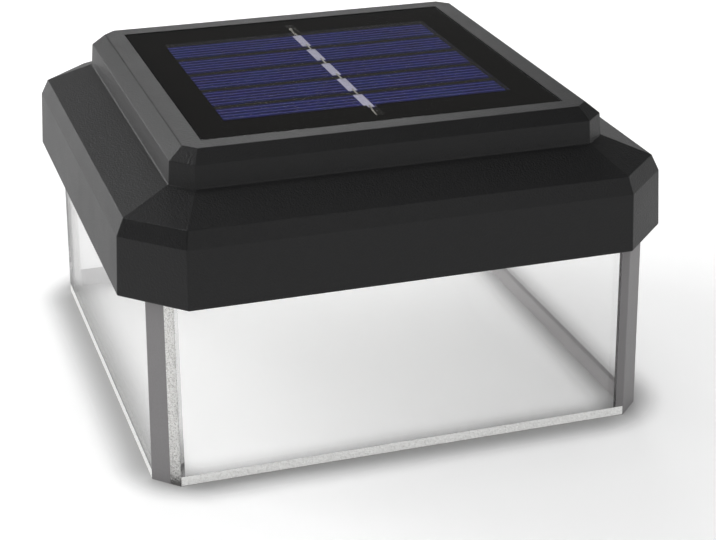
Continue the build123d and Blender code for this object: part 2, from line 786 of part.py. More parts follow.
with BuildPart() as capacitor:
    with BuildSketch(Plane.XY.offset(controller_top)):
        with Locations(capacitor_place):
            Circle(capacitor_radius)
    extrude(amount=capacitor_height)
    fillet(capacitor.faces().sort_by(Axis.Z)[-1].edges(), capacitor_groove)
    with BuildSketch(Plane.XY.offset(controller_top + capacitor_groove_lift)):
        with Locations(capacitor_place):
            Circle(capacitor_radius)
            Circle(capacitor_radius - capacitor_groove, mode=Mode.SUBTRACT)
    extrude(amount=capacitor_groove, mode=Mode.SUBTRACT)
write(capacitor.part, "capacitor")

# ---- slide switch ----

switch_length, switch_width, switch_height = switch_body_size
foot_length, foot_width, foot_height = slider_foot_size
switch_bottom = controller_bottom - switch_height
channel_half_length = (foot_length + switch_travel) / 2 + slider_clearance
channel_half_width = foot_width / 2 + slider_clearance
foot_bottom = switch_bottom + slider_clearance

with BuildPart() as switch_body:
    with BuildSketch(Plane.XY.offset(switch_bottom)):
        with Locations(switch_mid):
            Rectangle(switch_length, switch_width)
    extrude(amount=switch_height)
    # Channel for the slider, open below.
    with BuildSketch(Plane.XY.offset(switch_bottom)):
        with Locations(switch_mid):
            Rectangle(2 * channel_half_length, 2 * channel_half_width)
    extrude(amount=foot_height + 2 * slider_clearance, mode=Mode.SUBTRACT)
write(switch_body.part, "switch_body")

with BuildPart() as switch_slider:
    with BuildSketch(Plane.XY.offset(foot_bottom)):
        with Locations(switch_place):
            Rectangle(foot_length, foot_width)
    extrude(amount=foot_height)
    with BuildSketch(Plane.XY.offset(tray_bottom + knob_rise)):
        with Locations(switch_place):
            Rectangle(knob_length, knob_width)
    extrude(amount=foot_bottom - tray_bottom - knob_rise)
    # Three finger grooves across the knob.
    with BuildSketch(Plane.XY.offset(tray_bottom + knob_rise)):
        with Locations(switch_place):
            with GridLocations(knob_groove_pitch, 0, 3, 1):
                Rectangle(knob_groove, knob_width)
    extrude(amount=knob_groove, mode=Mode.SUBTRACT)
write(switch_slider.part, "switch_slider")

# ---- lamp ----

with BuildPart() as lamp_window:
    with BuildSketch(Plane.XY.offset(tray_bottom + window_inset)):
        Circle(window_radius - window_clearance)
    extrude(amount=tray_top - tray_bottom - window_inset)
    with BuildSketch(Plane.XY.offset(tray_top)):
        Circle(window_radius + window_flange - window_clearance)
    extrude(amount=window_flange_thickness)
    # The inside is dished, so the window is thinner in the middle.
    dish_lean = slope(window_flange_thickness, window_dish)
    with BuildSketch(Plane.XY.offset(tray_top + window_flange_thickness)):
        Circle(window_radius - window_flange)
    extrude(amount=-window_flange_thickness, taper=dish_lean, mode=Mode.SUBTRACT)
write(lamp_window.part, "lamp_window")

with BuildPart() as lamp_board:
    with BuildSketch(Plane.XY.offset(lamp_board_bottom)):
        SlotOverall(lamp_board_length, lamp_board_width)
        with Locations(*lamp_screw_places):
            Circle(board_screw[2] + screw_clearance, mode=Mode.SUBTRACT)
    extrude(amount=lamp_board_thickness)
write(lamp_board.part, "lamp_board")
write(pan_screws(lamp_screw_places, lamp_board_top, board_screw, False), "lamp_screws")

with BuildPart() as led_lamps:
    lamp_length, lamp_width, lamp_height = lamp_size
    with BuildSketch(Plane.XY.offset(lamp_board_bottom)):
        with GridLocations(*lamp_spread, 2, 2):
            Rectangle(lamp_length, lamp_width)
    extrude(amount=-lamp_height)
    with BuildSketch(Plane.XY.offset(lamp_board_bottom - lamp_height)):
        with GridLocations(*lamp_spread, 2, 2):
            Circle(lamp_lens_radius)
    extrude(amount=leg_thickness, mode=Mode.SUBTRACT)
write(led_lamps.part, "led_lamps")

# ---- leads inside the cap ----

lead_over = bay_top + lead_radius + pilot_clearance
front_landing = controller_y - controller_width / 2 + lead_landing
for name, side in (("battery_lead_red", 1), ("battery_lead_black", -1)):
    tab_face = contact_x - contact_thickness / 2
    run_x = side * (tab_face - battery_lead_inset)
    route = [
        (side * tab_face, bay_y, lead_over),
        (run_x, bay_y, lead_over),
        (run_x, front_landing, lead_over),
        (run_x, front_landing, controller_top),
    ]
    write(lead(route), name)

for name, side in (("panel_lead_red", 1), ("panel_lead_black", -1)):
    top_x = side * lead_spread / 2
    foot_x = side * lead_spread
    foot_y = controller_y - controller_width / 4
    route = [
        (top_x, lead_hole_y, recess_level + tape_thickness),
        (top_x, lead_hole_y, ceiling - panel_lead_drop),
        (foot_x, foot_y, controller_top + panel_lead_foot),
        (foot_x, foot_y, controller_top),
    ]
    write(lead(route), name)

for name, side in (("lamp_lead_red", 1), ("lamp_lead_black", -1)):
    run_x = side * lead_spread
    arch = controller_top + lamp_lead_arch
    end_y = lamp_board_width / 2 - lamp_lead_landing
    route = [
        (run_x, front_landing, controller_top),
        (run_x, front_landing, arch),
        (run_x, end_y, arch),
        (run_x, end_y, lamp_board_top),
    ]
    write(lead(route), name)
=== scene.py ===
import bpy
from math import cos, pi, radians, sin
from mathutils import Matrix, Vector


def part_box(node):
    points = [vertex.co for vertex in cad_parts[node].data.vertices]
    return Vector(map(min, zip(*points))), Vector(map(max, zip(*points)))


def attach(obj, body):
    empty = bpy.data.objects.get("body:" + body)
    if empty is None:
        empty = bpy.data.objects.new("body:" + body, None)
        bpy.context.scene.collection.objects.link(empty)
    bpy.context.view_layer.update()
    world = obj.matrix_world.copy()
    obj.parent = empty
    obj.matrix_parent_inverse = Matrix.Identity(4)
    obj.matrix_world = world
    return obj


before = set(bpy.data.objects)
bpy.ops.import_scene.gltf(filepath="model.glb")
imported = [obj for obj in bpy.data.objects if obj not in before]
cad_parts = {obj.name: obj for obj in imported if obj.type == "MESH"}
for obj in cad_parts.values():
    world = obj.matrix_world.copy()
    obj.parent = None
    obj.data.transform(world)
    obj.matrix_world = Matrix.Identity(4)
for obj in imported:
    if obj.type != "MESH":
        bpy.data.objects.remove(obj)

mm = 0.001
print("frame loaded:", len(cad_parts), "nodes")


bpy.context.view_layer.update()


def linear(hexColour):
    # sRGB hex to the linear values that Blender's sockets take
    parts = [int(hexColour[i:i + 2], 16) / 255 for i in (1, 3, 5)]
    return tuple(v / 12.92 if v <= 0.04045 else ((v + 0.055) / 1.055) ** 2.4 for v in parts) + (1.0,)


def addNode(tree, kind, inputs=None, **settings):
    # one node with its settings; an input is a value or the socket that feeds it
    node = tree.nodes.new(kind)
    for name, value in settings.items():
        setattr(node, name, value)
    for key, value in (inputs or {}).items():
        if isinstance(value, bpy.types.NodeSocket):
            tree.links.new(value, node.inputs[key])
        else:
            node.inputs[key].default_value = value
    return node


def mathIn(tree):
    # makes math nodes in this tree, so that a formula reads as one
    def calc(operation, first, second=0.0, third=0.0):
        given = {0: first, 1: second, 2: third}
        return addNode(tree, "ShaderNodeMath", given, operation=operation).outputs[0]

    return calc


def startMaterial(name):
    material = bpy.data.materials.new(name)
    material.use_nodes = True
    material.node_tree.nodes.clear()
    return material, material.node_tree


def endMaterial(material, shader):
    addNode(material.node_tree, "ShaderNodeOutputMaterial", {"Surface": shader})
    return material


def objectPlace(tree):
    return addNode(tree, "ShaderNodeTexCoord").outputs["Object"]


# Camera, placed as the photograph was taken.
cameraLook = {
    "positionMm": (-114.97, -377.45, 192.30),
    "yaw": 17.8,            # degrees from +Y towards +X
    "pitch": 23.71,         # degrees down
    "roll": -0.23,
    "focalPixels": 1811.4,
    "frameWidth": 716,
    "sensorMm": 36.0,
    "nearMetres": 0.01,
    "farMetres": 50,
}
cameraData = bpy.data.cameras.new("camera")
cameraData.sensor_width = cameraLook["sensorMm"]
cameraData.lens = cameraLook["focalPixels"] * cameraLook["sensorMm"] / cameraLook["frameWidth"]
cameraData.clip_start = cameraLook["nearMetres"]
cameraData.clip_end = cameraLook["farMetres"]
camera = bpy.data.objects.new("camera", cameraData)
camera.matrix_world = (
    Matrix.Translation(Vector(cameraLook["positionMm"]) * mm)
    @ Matrix.Rotation(radians(-cameraLook["yaw"]), 4, "Z")
    @ Matrix.Rotation(radians(90 - cameraLook["pitch"]), 4, "X")
    @ Matrix.Rotation(radians(cameraLook["roll"]), 4, "Z")
)
bpy.context.collection.objects.link(camera)
bpy.context.scene.camera = camera
bpy.context.scene.view_settings.view_transform = "Standard"
print("camera set")


def mouldedMaterial(name, look):
    # moulded or coated surface: a fine grain, faint blotches and uneven gloss
    material, tree = startMaterial(name)
    place = objectPlace(tree)
    blotch = addNode(tree, "ShaderNodeTexNoise", {
        "Vector": place, "Scale": 1 / (look["blotchMm"] * mm), "Detail": 3.0})
    grain = addNode(tree, "ShaderNodeTexNoise", {
        "Vector": place, "Scale": 1 / (look["grainMm"] * mm), "Detail": 2.0, "Roughness": 0.6})
    tone = addNode(tree, "ShaderNodeMix", {
        0: blotch.outputs["Fac"], 6: linear(look["darker"]), 7: linear(look["colour"])}, data_type="RGBA")
    gloss = addNode(tree, "ShaderNodeMapRange", {
        "Value": blotch.outputs["Fac"], "To Min": look["roughness"] - look["unevenness"],
        "To Max": look["roughness"] + look["unevenness"]})
    bump = addNode(tree, "ShaderNodeBump", {
        "Height": grain.outputs["Fac"], "Strength": look["grainStrength"],
        "Distance": look["grainDepthMm"] * mm})
    shader = addNode(tree, "ShaderNodeBsdfPrincipled", {
        "Base Color": tone.outputs[2], "Roughness": gloss.outputs["Result"],
        "Metallic": look.get("metallic", 0.0), "Coat Weight": look.get("coat", 0.0),
        "Specular IOR Level": look.get("specular", 0.5), "Normal": bump.outputs["Normal"]})
    return endMaterial(material, shader.outputs["BSDF"])


# Black ABS, moulded against a spark-eroded steel: a satin skin with a fine, sparkling grain.
capLook = {
    "colour": "#1b1b1c", "darker": "#161617", "blotchMm": 9.0, "roughness": 0.41, "unevenness": 0.04,
    "grainMm": 0.42, "grainStrength": 1.0, "grainDepthMm": 0.1, "specular": 0.42,
}
# White ABS, moulded: an even satin that picks up faint flow marks.
trayLook = {
    "colour": "#e4e4e2", "darker": "#d9d9d7", "blotchMm": 16.0, "roughness": 0.38, "unevenness": 0.05,
    "grainMm": 0.5, "grainStrength": 0.25, "grainDepthMm": 0.03,
}
# Soft silicone seal, moulded: dull and slightly dusty.
sealLook = {
    "colour": "#3a3a3c", "darker": "#2c2c2e", "blotchMm": 4.0, "roughness": 0.7, "unevenness": 0.06,
    "grainMm": 0.3, "grainStrength": 0.3, "grainDepthMm": 0.02,
}
# Zinc-plated steel, cold-headed: bright, with small uneven patches in the plating.
screwLook = {
    "colour": "#c9ccd0", "darker": "#a9adb3", "blotchMm": 1.6, "roughness": 0.32, "unevenness": 0.08,
    "grainMm": 0.25, "grainStrength": 0.15, "grainDepthMm": 0.01, "metallic": 1.0,
}
# Nickel-plated spring strip, rolled and pressed: smooth and warm grey.
contactLook = {
    "colour": "#c4c0b6", "darker": "#aca89e", "blotchMm": 2.5, "roughness": 0.26, "unevenness": 0.06,
    "grainMm": 0.4, "grainStrength": 0.1, "grainDepthMm": 0.01, "metallic": 1.0,
}
# Tinned copper ribbon, dipped: pale and softly rippled, with a lilac tint painted in as a reflection of the
# cells' coating.
ribbonLook = {
    "colour": "#dcdbf6", "darker": "#b9b8e0", "blotchMm": 0.9, "roughness": 0.38, "unevenness": 0.1,
    "grainMm": 0.35, "grainStrength": 0.3, "grainDepthMm": 0.03, "metallic": 0.1,
}
# Solder, run and frozen: a bright, lumpy drop.
solderLook = {
    "colour": "#e9e8e4", "darker": "#bdbab2", "blotchMm": 0.7, "roughness": 0.25, "unevenness": 0.08,
    "grainMm": 0.3, "grainStrength": 0.3, "grainDepthMm": 0.03, "metallic": 0.3,
}
# Black solder mask, screen printed: near black with a warm cast, smooth under the resin.
panelBoardLook = {
    "colour": "#1d1b16", "darker": "#161410", "blotchMm": 12.0, "roughness": 0.35, "unevenness": 0.05,
    "grainMm": 0.6, "grainStrength": 0.08, "grainDepthMm": 0.01, "specular": 0.0,
}
# Closed-cell foam tape, sliced: matt and finely pitted.
tapeLook = {
    "colour": "#2a2a2a", "darker": "#1e1e1e", "blotchMm": 2.0, "roughness": 0.85, "unevenness": 0.05,
    "grainMm": 0.3, "grainStrength": 0.6, "grainDepthMm": 0.05,
}
# PVC insulation, extruded: smooth, with a little drag along the wire.
redLeadLook = {
    "colour": "#b3201a", "darker": "#99160f", "blotchMm": 3.0, "roughness": 0.35, "unevenness": 0.05,
    "grainMm": 0.6, "grainStrength": 0.1, "grainDepthMm": 0.01,
}
blackLeadLook = dict(redLeadLook, colour="#1f1f20", darker="#171718")
# Printed PVC sleeve, shrunk on: glossy green over the steel can.
batterySleeveLook = {
    "colour": "#2f7d46", "darker": "#276b3b", "blotchMm": 14.0, "roughness": 0.22, "unevenness": 0.04,
    "grainMm": 1.2, "grainStrength": 0.06, "grainDepthMm": 0.02, "coat": 0.4,
}
# Green solder mask on glass-epoxy board: glossy, with the weave just showing.
boardLook = {
    "colour": "#1f6b3a", "darker": "#19592f", "blotchMm": 2.2, "roughness": 0.28, "unevenness": 0.05,
    "grainMm": 0.5, "grainStrength": 0.15, "grainDepthMm": 0.02, "coat": 0.2,
}
# White solder mask on an aluminium board: flat and even.
lampBoardLook = {
    "colour": "#e9e9e6", "darker": "#dededa", "blotchMm": 4.0, "roughness": 0.4, "unevenness": 0.05,
    "grainMm": 0.5, "grainStrength": 0.1, "grainDepthMm": 0.01,
}
# Moulded epoxy round a chip: matt black with a fine sand grain.
chipLook = {
    "colour": "#262627", "darker": "#1d1d1e", "blotchMm": 1.5, "roughness": 0.6, "unevenness": 0.06,
    "grainMm": 0.15, "grainStrength": 0.5, "grainDepthMm": 0.02,
}
# Sintered ferrite: dark grey, chalky.
ferriteLook = dict(chipLook, colour="#3b3a3c", darker="#2c2b2d", grainMm=0.25, roughness=0.7)
# Aluminium can, drawn, in a dark shrink sleeve.
canLook = {
    "colour": "#2b2f45", "darker": "#232638", "blotchMm": 2.0, "roughness": 0.3, "unevenness": 0.05,
    "grainMm": 0.4, "grainStrength": 0.1, "grainDepthMm": 0.01, "coat": 0.3,
}
# Nylon slider, moulded in black: dull from handling.
sliderLook = dict(chipLook, colour="#1c1c1c", darker="#151515", roughness=0.5)
# Phosphor under clear silicone, dispensed: soft yellow.
lampLook = {
    "colour": "#e8c65a", "darker": "#dcb549", "blotchMm": 1.0, "roughness": 0.3, "unevenness": 0.05,
    "grainMm": 0.2, "grainStrength": 0.2, "grainDepthMm": 0.02, "coat": 0.5,
}
# Opal polycarbonate, moulded with a matt face: it scatters the light of the lamps.
windowLook = {
    "colour": "#eeeee8", "darker": "#e4e4dd", "blotchMm": 5.0, "roughness": 0.5, "unevenness": 0.05,
    "grainMm": 0.3, "grainStrength": 0.4, "grainDepthMm": 0.03,
}

nodeLooks = {
    "capHousingAbs": (capLook, ["cap_housing"]),
    "trayAbs": (trayLook, ["tray", "battery_door"]),
    "siliconeSeal": (sealLook, ["tray_gasket", "door_gasket"]),
    "zincPlatedSteel": (screwLook, ["tray_screws", "door_screws", "board_screws", "lamp_screws"]),
    "nickelPlatedStrip": (contactLook, ["spring_contact", "button_contact", "switch_body"]),
    "tinnedRibbon": (ribbonLook, ["cell_tabs"]),
    "solder": (solderLook, ["link_wires"]),
    "blackSolderMask": (panelBoardLook, ["panel_board"]),
    "foamTape": (tapeLook, ["panel_adhesive"]),
    "redInsulation": (redLeadLook, ["panel_lead_red", "battery_lead_red", "lamp_lead_red"]),
    "blackInsulation": (blackLeadLook, ["panel_lead_black", "battery_lead_black", "lamp_lead_black"]),
    "shrinkSleeve": (batterySleeveLook, ["battery_cell"]),
    "greenSolderMask": (boardLook, ["controller_board"]),
    "whiteSolderMask": (lampBoardLook, ["lamp_board"]),
    "mouldedEpoxy": (chipLook, ["controller_chip"]),
    "sinteredFerrite": (ferriteLook, ["choke_coil"]),
    "sleevedCan": (canLook, ["capacitor"]),
    "nylonSlider": (sliderLook, ["switch_slider"]),
    "lampPhosphor": (lampLook, ["led_lamps"]),
    "opalPolycarbonate": (windowLook, ["lamp_window"]),
}


def dress(nodeName, material):
    # gives a CAD node its material
    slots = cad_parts[nodeName].data.materials
    slots.clear()
    slots.append(material)


for materialName, (look, nodeNames) in nodeLooks.items():
    material = mouldedMaterial(materialName, look)
    for nodeName in nodeNames:
        dress(nodeName, material)


def clearShader(tree, inputs, shadowLeft):
    # clear plastic that lets light through to what it covers, except for a share of the shadow
    ray = addNode(tree, "ShaderNodeLightPath")
    opaque = addNode(tree, "ShaderNodeMapRange", {
        "Value": ray.outputs["Is Shadow Ray"], "To Min": 1.0, "To Max": shadowLeft})
    return addNode(tree, "ShaderNodeBsdfPrincipled", dict(
        inputs, **{"Transmission Weight": 1.0, "Alpha": opaque.outputs["Result"]}))


# Clear polystyrene, moulded: polished windows inside corners and a foot left rough by the tool. The
# corners are frosted, and their grey is a painted reflection of the dark surroundings that they refract.
# One strip in each left corner glitters. The foot has painted light, pale on the near sides, and painted
# shade, grey, on the others, and all rough parts carry a painted glow.
skirtLook = {
    "clear": "#fcfcfc", "ior": 1.49, "clearShadow": 0.10,
    "cornerPaintedGrey": "#8c8a8b", "bandPaintedGrey": "#807e7f", "shadedFootGrey": "#b2afb0", "litFootWhite": "#fbfbf9",
    "paintedGlow": 0.12, "litFootGlow": 0.25, "mottle": 0.35, "mottleFrom": 0.3, "mottleTo": 0.6,
    "glitter": "#fbfaf6", "glitterDark": "#a8a5a1", "glitterRoughness": 0.45,
    "speckleFrom": 0.36, "speckleTo": 0.52,
    "cornerMm": 105.6, "bandMm": 103.9, "leanPerMm": 0.0234,
    "footMm": 2.1, "bottomMm": 0.1, "skinMm": 53.6, "skinDiagonalMm": 102.5,
    "insideFootMm": 3.8, "farMm": 51.0, "glitterFromMm": -1.5,
    "grainMm": 0.55, "grainDepthMm": 0.25, "fineMm": 0.3, "fineShare": 0.3, "roughness": 0.42,
}


def skirtMaterial(look):
    material, tree = startMaterial("frostEdgedPolystyrene")
    calc = mathIn(tree)

    def blend(share, low, high):
        return addNode(tree, "ShaderNodeMix", {0: share, 6: low, 7: high}, data_type="RGBA").outputs[2]

    def joined(share, low, high):
        return addNode(tree, "ShaderNodeMixShader", {0: share, 1: low, 2: high}).outputs["Shader"]

    place = objectPlace(tree)
    axes = addNode(tree, "ShaderNodeSeparateXYZ", {"Vector": place}).outputs
    acrossX, acrossY = calc("ABSOLUTE", axes["X"]), calc("ABSOLUTE", axes["Y"])
    # distance out along the diagonal, corrected for the lean of the walls
    diagonal = calc("MULTIPLY_ADD", axes["Z"], look["leanPerMm"], calc("ADD", acrossX, acrossY))
    # the corners get a painted grey, a painted reflection of the dark surroundings that they refract
    facet = calc("GREATER_THAN", diagonal, look["cornerMm"] * mm)
    border = calc("GREATER_THAN", diagonal, look["bandMm"] * mm)
    leftSide = calc("LESS_THAN", axes["X"], 0.0)
    rightSide = calc("SUBTRACT", 1.0, leftSide)
    # in the left corners the frost ends in the glittering strip
    leftFrost = calc("MULTIPLY", leftSide, facet)
    strip = calc("MULTIPLY", leftFrost, calc(
        "LESS_THAN", calc("SUBTRACT", acrossX, acrossY), look["glitterFromMm"] * mm))
    corner = calc("MAXIMUM", leftFrost, calc("MULTIPLY", rightSide, border))
    # the foot is a low band round the outside and the whole underside, with painted light on the near sides
    # and painted shade on the rest
    reach = calc("MAXIMUM", acrossX, acrossY)
    skin = calc("MAXIMUM", calc("GREATER_THAN", reach, look["skinMm"] * mm),
                calc("GREATER_THAN", diagonal, look["skinDiagonalMm"] * mm))
    underside = calc("LESS_THAN", axes["Z"], look["bottomMm"] * mm)
    foot = calc("MULTIPLY", skin, calc("LESS_THAN", axes["Z"], look["footMm"] * mm))
    nearSide = calc("MULTIPLY", calc("SUBTRACT", 1.0, facet), calc(
        "LESS_THAN", calc("MINIMUM", axes["X"], axes["Y"]), -look["skinMm"] * mm))
    litFoot = calc("MULTIPLY", calc("MULTIPLY", foot, nearSide), calc("SUBTRACT", 1.0, underside))
    farSide = calc("GREATER_THAN", calc("MAXIMUM", axes["X"], axes["Y"]), look["farMm"] * mm)
    farFoot = calc("MULTIPLY", farSide, calc("LESS_THAN", axes["Z"], look["insideFootMm"] * mm))
    lowBand = calc("MAXIMUM", calc("MAXIMUM", foot, underside), farFoot)
    shadedFoot = calc("MULTIPLY", calc("SUBTRACT", 1.0, corner), calc("SUBTRACT", lowBand, litFoot))

    grain = addNode(tree, "ShaderNodeTexVoronoi", {
        "Vector": place, "Scale": 1 / (look["grainMm"] * mm)}).outputs["Distance"]
    fine = addNode(tree, "ShaderNodeTexNoise", {
        "Vector": place, "Scale": 1 / (look["fineMm"] * mm), "Detail": 2.0}).outputs["Fac"]
    speckledPart = calc("MAXIMUM", strip, litFoot)
    height = calc("MULTIPLY_ADD", calc("MULTIPLY", grain, speckledPart), 1.0,
                  calc("MULTIPLY", fine, look["fineShare"]))
    bump = addNode(tree, "ShaderNodeBump", {
        "Height": height, "Strength": 1.0, "Distance": look["grainDepthMm"] * mm}).outputs["Normal"]
    # painted shade and reflection: grey for the corners and the shaded foot, and painted light, white, for
    # the lit foot
    grey = blend(shadedFoot, blend(facet, linear(look["bandPaintedGrey"]), linear(look["cornerPaintedGrey"])),
                 linear(look["shadedFootGrey"]))
    mottled = addNode(tree, "ShaderNodeMapRange", {
        "Value": fine, "From Min": look["mottleFrom"], "From Max": look["mottleTo"],
        "To Min": look["mottle"], "To Max": 0.0}).outputs["Result"]
    tone = blend(mottled, blend(litFoot, grey, linear(look["litFootWhite"])), linear(look["bandPaintedGrey"]))
    # painted glow: the rough parts emit light, standing in for light that the walls guide to them
    paintedGlow = addNode(tree, "ShaderNodeMapRange", {
        "Value": litFoot, "To Min": look["paintedGlow"], "To Max": look["litFootGlow"]}).outputs["Result"]
    frosted = addNode(tree, "ShaderNodeBsdfPrincipled", {
        "Base Color": tone, "Roughness": look["roughness"], "Normal": bump, "Emission Color": tone,
        "Emission Strength": paintedGlow})
    speckled = addNode(tree, "ShaderNodeMapRange", {
        "Value": fine, "From Min": look["speckleFrom"], "From Max": look["speckleTo"]}).outputs["Result"]
    glitter = clearShader(tree, {
        "Base Color": blend(speckled, linear(look["glitterDark"]), linear(look["glitter"])),
        "Roughness": look["glitterRoughness"], "IOR": look["ior"], "Normal": bump}, 1.0)
    polished = clearShader(tree, {
        "Base Color": linear(look["clear"]), "Roughness": 0.0, "IOR": look["ior"]}, look["clearShadow"])
    rough = calc("MAXIMUM", calc("MAXIMUM", corner, shadedFoot), litFoot)
    plain = joined(rough, polished.outputs["BSDF"], frosted.outputs["BSDF"])
    return endMaterial(material, joined(strip, plain, glitter.outputs["BSDF"]))


dress("clear_skirt", skirtMaterial(skirtLook))

# Epoxy resin, poured and self-levelled: a clear gloss with a very slow waviness.
resinLook = {"colour": "#fdfcf7", "waveMm": 18.0, "waveDepthMm": 0.03, "roughness": 0.04, "ior": 1.5}


def resinMaterial(look):
    material, tree = startMaterial("pouredResin")
    wave = addNode(tree, "ShaderNodeTexNoise", {
        "Vector": objectPlace(tree), "Scale": 1 / (look["waveMm"] * mm), "Detail": 1.0})
    bump = addNode(tree, "ShaderNodeBump", {
        "Height": wave.outputs["Fac"], "Strength": 1.0, "Distance": look["waveDepthMm"] * mm})
    shader = clearShader(tree, {
        "Base Color": linear(look["colour"]), "Roughness": look["roughness"], "IOR": look["ior"],
        "Normal": bump.outputs["Normal"]}, 0.0)
    return endMaterial(material, shader.outputs["BSDF"])


dress("panel_cover", resinMaterial(resinLook))

# Silicon with a nitride coating, sawn into strips: deep blue, violet in places, with a wavy shimmer.
cellLook = {
    "violet": "#160e5e", "violetAt": 0.35, "blue": "#0a1068", "blueAt": 0.5,
    "teal": "#081f68", "tealAt": 0.68,
    "patchMm": 7.0, "shimmerMm": 1.3, "shimmerSqueeze": 0.25, "shimmerWave": 0.6,
    "shimmerFrom": 0.4, "shimmerTo": 0.62, "shimmerShare": 0.6, "shimmerDark": "#060a3c",
    "roughness": 0.25, "specular": 0.0,
}


def cellMaterial(look):
    material, tree = startMaterial("coatedSilicon")
    place = objectPlace(tree)
    patch = addNode(tree, "ShaderNodeTexNoise", {
        "Vector": place, "Scale": 1 / (look["patchMm"] * mm), "Detail": 2.0})
    tones = addNode(tree, "ShaderNodeValToRGB", {"Fac": patch.outputs["Fac"]})
    tones.color_ramp.elements[0].position = look["violetAt"]
    tones.color_ramp.elements[0].color = linear(look["violet"])
    tones.color_ramp.elements[1].position = look["tealAt"]
    tones.color_ramp.elements[1].color = linear(look["teal"])
    tones.color_ramp.elements.new(look["blueAt"]).color = linear(look["blue"])
    stretched = addNode(tree, "ShaderNodeMapping", {
        "Vector": place, "Scale": (look["shimmerSqueeze"], 1.0, 1.0)})
    shimmer = addNode(tree, "ShaderNodeTexNoise", {
        "Vector": stretched.outputs["Vector"], "Scale": 1 / (look["shimmerMm"] * mm), "Detail": 2.0,
        "Distortion": look["shimmerWave"]})
    share = addNode(tree, "ShaderNodeMapRange", {
        "Value": shimmer.outputs["Fac"], "From Min": look["shimmerFrom"], "From Max": look["shimmerTo"],
        "To Max": look["shimmerShare"]})
    tone = addNode(tree, "ShaderNodeMix", {
        0: share.outputs["Result"], 6: tones.outputs["Color"], 7: linear(look["shimmerDark"])},
        data_type="RGBA")
    shader = addNode(tree, "ShaderNodeBsdfPrincipled", {
        "Base Color": tone.outputs[2], "Roughness": look["roughness"],
        "Specular IOR Level": look["specular"]})
    return endMaterial(material, shader.outputs["BSDF"])


dress("solar_cells", cellMaterial(cellLook))

# Silver paste, screen printed and fired on the cells: fine pale lines that the coating tints.
fingerPasteLook = {
    "colour": "#6c71d2", "darker": "#5257b8", "blotchMm": 1.4, "roughness": 0.4, "unevenness": 0.08,
    "grainMm": 0.3, "grainStrength": 0.3, "grainDepthMm": 0.02, "metallic": 0.0, "specular": 0.0,
}
fingerPaste = mouldedMaterial("silverPaste", fingerPasteLook)
print("materials made:", len(bpy.data.materials))


def madeByNodes(name, tree, values):
    # runs a geometry tree on an empty mesh and keeps the result as a plain mesh
    holder = bpy.data.objects.new(name, bpy.data.meshes.new(name))
    bpy.context.collection.objects.link(holder)
    modifier = holder.modifiers.new("build", "NODES")
    modifier.node_group = tree
    for item in tree.interface.items_tree:
        if item.in_out == "INPUT" and item.name in values:
            modifier[item.identifier] = values[item.name]
    shown = holder.evaluated_get(bpy.context.evaluated_depsgraph_get())
    mesh = bpy.data.meshes.new_from_object(shown)
    holder.modifiers.clear()
    holder.data = mesh
    return holder


# Finger lines on the cells: five on each of the five cells, with points along each line.
fingers = {
    "Cell Count": 5, "Cell Pitch": 11.9 * mm, "Line Count": 5, "Line Pitch": 1.84 * mm,
    "Length": 63.7 * mm, "Width": 0.2 * mm, "Thickness": 0.03 * mm, "Points Along": 33,
}


def fingerTree(material, level):
    tree = bpy.data.node_groups.new("fingerLines", "GeometryNodeTree")
    tree.interface.new_socket("Geometry", in_out="OUTPUT", socket_type="NodeSocketGeometry")
    for name, value in fingers.items():
        kind = "NodeSocketInt" if isinstance(value, int) else "NodeSocketFloat"
        tree.interface.new_socket(name, in_out="INPUT", socket_type=kind)
    given = addNode(tree, "NodeGroupInput").outputs
    calc = mathIn(tree)

    def centredLine(count, pitch, height):
        span = calc("MULTIPLY", calc("SUBTRACT", given[count], 1.0), given[pitch])
        start = addNode(tree, "ShaderNodeCombineXYZ", {"Y": calc("MULTIPLY", span, -0.5), "Z": height})
        offset = addNode(tree, "ShaderNodeCombineXYZ", {"Y": given[pitch]})
        return addNode(tree, "GeometryNodeMeshLine", {
            "Count": given[count], "Start Location": start.outputs[0], "Offset": offset.outputs[0]})

    size = addNode(tree, "ShaderNodeCombineXYZ", {
        "X": given["Length"], "Y": given["Width"], "Z": given["Thickness"]})
    strip = addNode(tree, "GeometryNodeMeshCube", {
        "Size": size.outputs[0], "Vertices X": given["Points Along"]})
    onCell = addNode(tree, "GeometryNodeInstanceOnPoints", {
        "Points": centredLine("Line Count", "Line Pitch", 0.0).outputs["Mesh"],
        "Instance": strip.outputs["Mesh"]})
    onPanel = addNode(tree, "GeometryNodeInstanceOnPoints", {
        "Points": centredLine("Cell Count", "Cell Pitch", level).outputs["Mesh"],
        "Instance": onCell.outputs["Instances"]})
    whole = addNode(tree, "GeometryNodeRealizeInstances", {"Geometry": onPanel.outputs["Instances"]})
    shown = addNode(tree, "GeometryNodeSetMaterial", {
        "Geometry": whole.outputs["Geometry"], "Material": material})
    addNode(tree, "NodeGroupOutput", {"Geometry": shown.outputs["Geometry"]})
    return tree


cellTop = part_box("solar_cells")[1].z
fingerLines = madeByNodes(
    "finger_lines", fingerTree(fingerPaste, cellTop + fingers["Thickness"] / 2), fingers)
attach(fingerLines, "lamp_body")
print("finger lines made:", len(fingerLines.data.polygons), "faces")

# The floor is a plain pale table with a painted shadow close to the skirt's foot.
floorLook = {
    "colour": "#f6f6f6", "roughness": 0.8, "size": 6.0, "cameraGlow": 0.34, "farGlow": 1.0, "farFrom": 0.35,
    "farTo": 1.1, "footMm": 54.8, "roundMm": 12.0, "shadeMm": 11.0, "footShadowColour": "#b8b8b8",
}
floorMesh = bpy.data.meshes.new("floor")
reach = floorLook["size"] / 2
corners = [(-reach, -reach, 0), (reach, -reach, 0), (reach, reach, 0), (-reach, reach, 0)]
floorMesh.from_pydata(corners, [], [(0, 1, 2, 3)])
floor = bpy.data.objects.new("floor", floorMesh)
bpy.context.collection.objects.link(floor)


